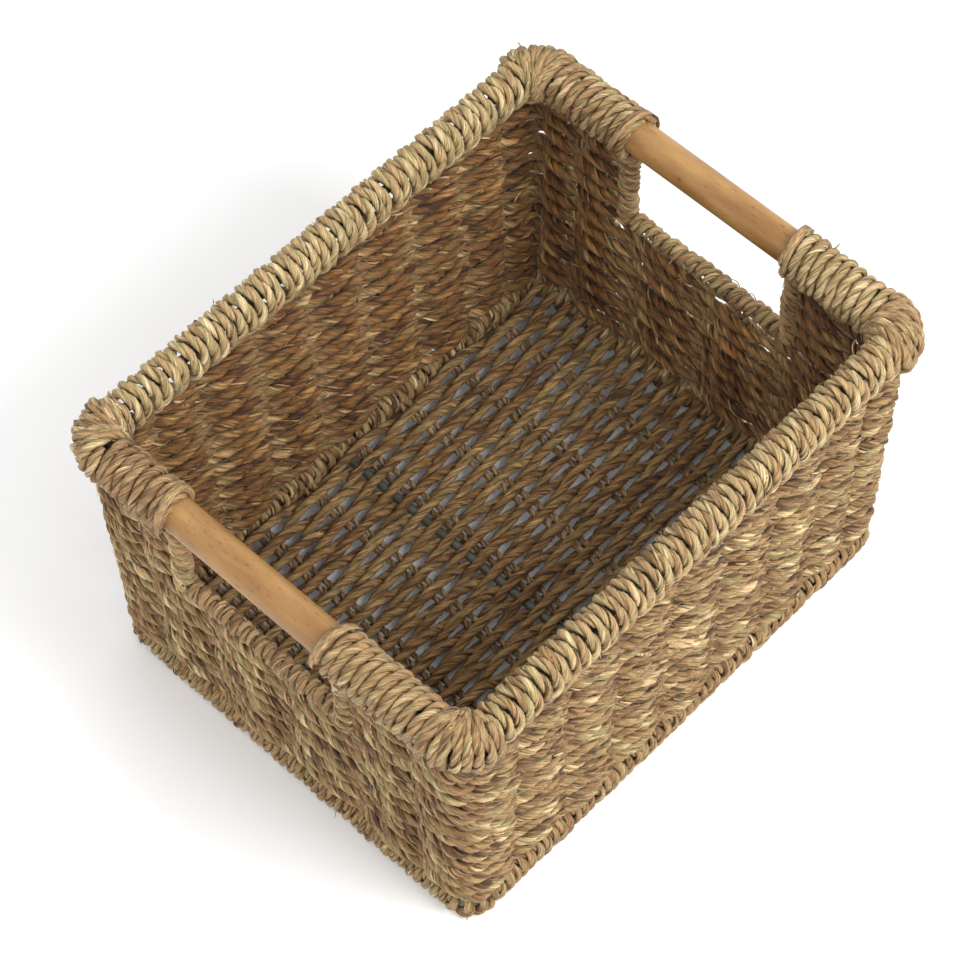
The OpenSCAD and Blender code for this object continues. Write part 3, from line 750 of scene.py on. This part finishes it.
def wrapPiece(name, run, seed, material, wrap, slotName="rim_rope", lastAt=None):
    # a wrap's rope with its stray and loose blades, and its broad last turn where it has one
    rope = wrapRope
    piece = RopeMesh(name + "_rope", seed)
    path, facing = coil(*run, wrap, piece.rng)
    laid = piece.addRope(path, facing, rope, tint=piece.rng.uniform())
    addStrays(piece, laid, int(len(path) / rope["strayEvery"]) + 2, rope["strayLift"])
    looseWide = wrap.get("looseWide", rope["looseWide"])
    addLoose(piece, laid, rope, int(len(laid[0]) / rope["looseEvery"]), looseWide)
    if lastAt:
        endBlade(piece, *lastAt, wrap["halfWide"], wrap["halfHigh"])
    piece.finish(material, slotName, name)


rimWrap = {"halfWide": 13.0, "halfHigh": 16.5, "pitch": 7.5, "slant": 2.5, "pairPinch": 2.1}
cornerWrap = {"halfWide": 17.6, "halfHigh": 18.0, "pitch": 3.7, "looseWide": (2.6, 4.6)}
gripWrap = {"halfWide": 16.3, "halfHigh": 17.2, "pitch": 6.9}
gapSideWrap = {"halfWide": 7.0, "halfHigh": 7.5, "pitch": 6.9}
gapSillWrap = {"halfWide": 6.8, "halfHigh": 7.2, "pitch": 6.75}
footWrap = {"halfWide": 8.6, "halfHigh": 11.4, "pitch": 6.6, "slant": 4.0, "floorZ": 0.0}
pastEdge = {"grip": 3, "lastTurn": 1, "side": 2, "sill": 2}     # how far past an edge wraps begin and end
b = basket
seed = 400
for side, sy in (("front", -1), ("back", 1)):
    rimY = sy * b["halfY"]
    run = straight((sy * b["arcX"], rimY, b["wrapZ"]), (-sy * b["arcX"], rimY, b["wrapZ"]),
                   (0, sy, 0), (0, 0, 1), 200)
    wrapPiece(f"rim_wrap_{side}", run, seed + sy, seagrassRim, rimWrap)
seed = 410
for endName, sx in (("left", -1), ("right", 1)):
    shift = b["gapShift"][sx]
    gripX, gapX = sx * b["halfX"], sx * b["gapX"]
    for side, sy in (("front", -1), ("back", 1)):
        seed += 1
        first = {(1, -1): -90, (1, 1): 0, (-1, 1): 90, (-1, -1): 180}[sx, sy]
        run = bend(sx * b["arcX"], sy * b["arcY"], b["halfX"] - b["arcX"], first, b["wrapZ"])
        wrapPiece(f"corner_wrap_{side}_{endName}", run, seed, seagrassWrap, cornerWrap)
        run = straight((gripX, shift + sy * (b["gripBare"] / 2 + pastEdge["grip"]), b["wrapZ"]),
                       (gripX, sy * b["arcY"], b["wrapZ"]), (sx, 0, 0), (0, 0, 1), 80)
        lastAt = (gripX, shift + sy * (b["gripBare"] / 2 + pastEdge["lastTurn"]), sx, sy)
        wrapPiece(f"grip_wrap_{side}_{endName}", run, seed + 10, seagrassWrap, gripWrap, lastAt=lastAt)
        postY = shift + sy * b["gapPostY"]
        run = straight((gapX, postY, b["lowTop"] + pastEdge["side"]),
                       (gapX, postY, b["wallTop"] + pastEdge["side"]), (sx, 0, 0), (0, sy, 0), 60)
        wrapPiece(f"gap_side_wrap_{side}_{endName}", run, seed + 20, seagrassWrap, gapSideWrap)
    reach = b["gripBare"] / 2 + pastEdge["sill"]
    run = straight((gapX, shift - reach, b["gapBarZ"]), (gapX, shift + reach, b["gapBarZ"]),
                   (sx, 0, 0), (0, 0, 1), 80)
    wrapPiece(f"gap_sill_wrap_{endName}", run, seed + 30, seagrassWrap, gapSillWrap)
print("rim wraps wound")

footRadius = b["footX"] - b["arcX"]
sideY = b["footY"] - footRadius
footRuns = {
    "front": join(straight((-b["arcX"], -b["footY"], b["ringZ"]), (b["arcX"], -b["footY"], b["ringZ"]),
                           (0, -1, 0), (0, 0, 1), 200),
                  bend(b["arcX"], -sideY, footRadius, -90, b["ringZ"])),
    "right": join(straight((b["footX"], -sideY, b["ringZ"]), (b["footX"], sideY, b["ringZ"]),
                           (1, 0, 0), (0, 0, 1), 160),
                  bend(b["arcX"], sideY, footRadius, 0, b["ringZ"])),
    "back": join(straight((b["arcX"], b["footY"], b["ringZ"]), (-b["arcX"], b["footY"], b["ringZ"]),
                          (0, 1, 0), (0, 0, 1), 200),
                 bend(-b["arcX"], sideY, footRadius, 90, b["ringZ"])),
    "left": join(straight((-b["footX"], sideY, b["ringZ"]), (-b["footX"], -sideY, b["ringZ"]),
                          (-1, 0, 0), (0, 0, 1), 160),
                 bend(-b["arcX"], -sideY, footRadius, 180, b["ringZ"])),
}
seed = 500
for side, run in footRuns.items():
    seed += 1
    wrapPiece(f"foot_wrap_{side}", run, seed, seagrassFoot, footWrap, "foot_rope")
print("foot border wound")

# Floor under the basket, soft studio light and the camera

studio = {"floorColour": "#F4F4F4", "floorSize": 6.0, "floorRough": 0.9, "room": 1.0, "lightAim": (0, 0, 0.1),
          "keyLight": {"place": (0.30, -1.4, 1.6), "size": 1.0, "power": 32},
          "fillLight": {"place": (-1.3, -0.4, 1.5), "size": 1.4, "power": 7}}
bpy.ops.mesh.primitive_plane_add(size=studio["floorSize"], location=(0, 0, 0))
ground = bpy.context.object
ground.name = "studioFloor"
paper = bpy.data.materials.new("mattPaper")
paper.use_nodes = True
shader = paper.node_tree.nodes["Principled BSDF"]
shader.inputs["Base Color"].default_value = toLinear(studio["floorColour"])
shader.inputs["Roughness"].default_value = studio["floorRough"]
ground.data.materials.append(paper)

world = bpy.data.worlds.new("softRoom")
bpy.context.scene.world = world
world.use_nodes = True
background = world.node_tree.nodes["Background"]
background.inputs["Color"].default_value = (1, 1, 1, 1)
background.inputs["Strength"].default_value = studio["room"]


def softBox(name):
    # a square soft box, in metres and watts, turned to the basket
    settings = studio[name]
    light = bpy.data.lights.new(name, "AREA")
    light.shape = "RECTANGLE"
    light.size = settings["size"]
    light.size_y = settings["size"]
    light.energy = settings["power"]
    lamp = bpy.data.objects.new(name, light)
    bpy.context.scene.collection.objects.link(lamp)
    lamp.location = settings["place"]
    aim = np.array(studio["lightAim"]) - np.array(settings["place"])
    lamp.rotation_euler = Vector(aim).to_track_quat("-Z", "Y").to_euler()


softBox("keyLight")
softBox("fillLight")

view = {"azimuth": -45.88, "elevation": 57.95, "roll": -0.88, "distance": 2.033, "sensor": 36.0,
        "target": (0.0090, 0.0152, 0.0925), "lens": 126.46, "shiftX": -0.0155, "shiftY": 0.0012}
a, e, roll = (math.radians(view[k]) for k in ("azimuth", "elevation", "roll"))
back = np.array([math.sin(a) * math.cos(e), -math.cos(a) * math.cos(e), math.sin(e)])
right0 = unit(np.cross(up, back))
up0 = np.cross(back, right0)
right = math.cos(roll) * right0 + math.sin(roll) * up0
upward = -math.sin(roll) * right0 + math.cos(roll) * up0
bpy.context.scene.view_settings.view_transform = "Standard"
camera = bpy.data.cameras.new("studioCamera")
camera.lens = view["lens"]
camera.sensor_width = view["sensor"]
camera.shift_x = view["shiftX"]
camera.shift_y = view["shiftY"]
eye = bpy.data.objects.new("studioCamera", camera)
bpy.context.scene.collection.objects.link(eye)
place = np.array(view["target"]) + back * view["distance"]
eye.matrix_world = Matrix([[right[i], upward[i], back[i], place[i]] for i in range(3)] + [[0, 0, 0, 1]])
bpy.context.scene.camera = eye
print("studio set")

bpy.context.view_layer.update()
triangles = {o.name: sum(len(p.vertices) - 2 for p in o.data.polygons)
             for o in bpy.data.objects if o.name.endswith("_rope")}
largest = max(triangles, key=triangles.get)
print("rope triangles", sum(triangles.values()), "largest", triangles[largest], largest)
